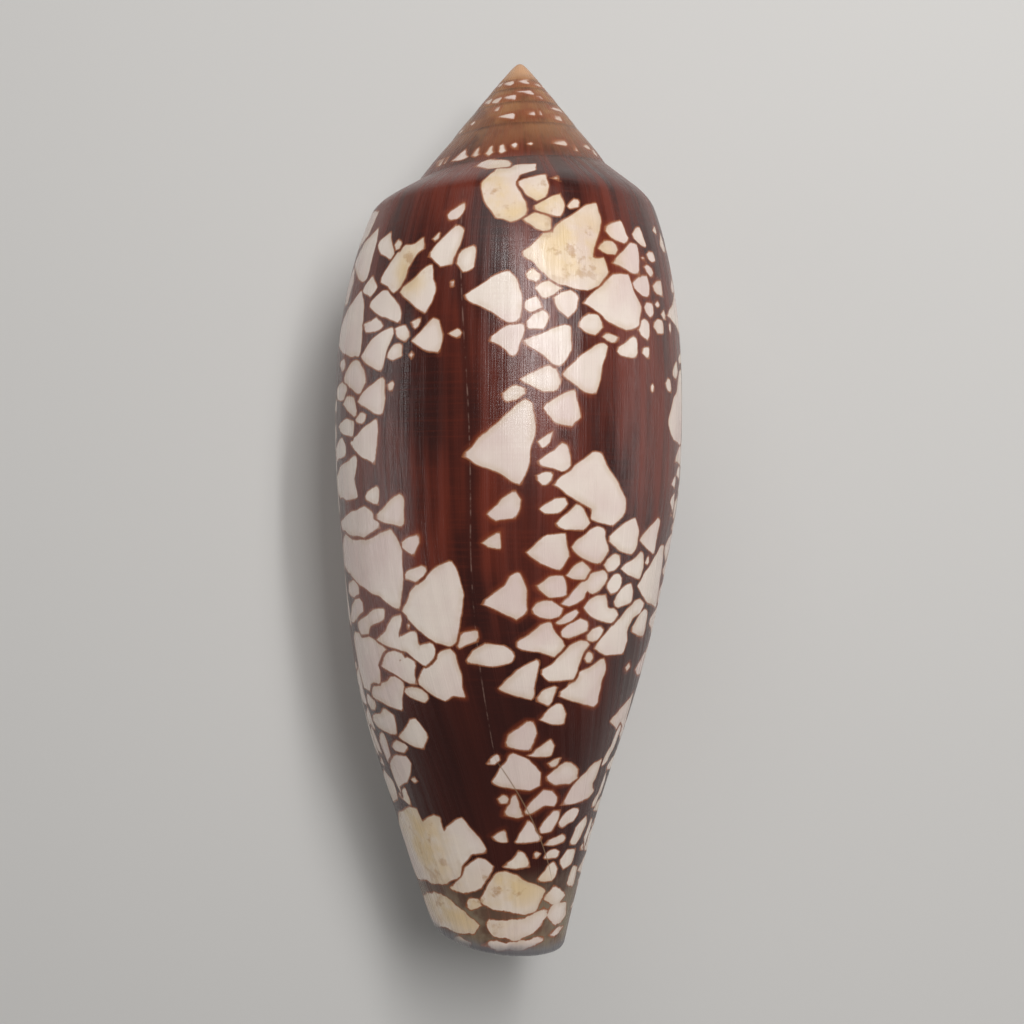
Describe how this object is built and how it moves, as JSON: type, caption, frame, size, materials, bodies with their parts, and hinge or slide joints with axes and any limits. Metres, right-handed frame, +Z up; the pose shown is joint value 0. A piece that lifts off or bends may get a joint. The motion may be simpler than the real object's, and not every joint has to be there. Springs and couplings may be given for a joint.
{
  "type": "cone shell",
  "caption": "Large tented cone shell of a sea snail: a tapering coiled tube with a low pointed spire and a long narrow aperture, lying on its aperture as a loose natural specimen.",
  "frame": {"origin": "under the middle of the shell's box, on the surface that it lies on", "axes": "+Z up, +Y towards the apex of the spire, +X to the right when the back of the shell is seen from above with the apex away"},
  "size_m": [0.0434, 0.11, 0.0403],
  "materials": {
    "shell": "polished calcium carbonate, chestnut brown with cream tents"
  },
  "bodies": {
    "root": {"cone_shell": "shell"}
  },
  "joints": []
}
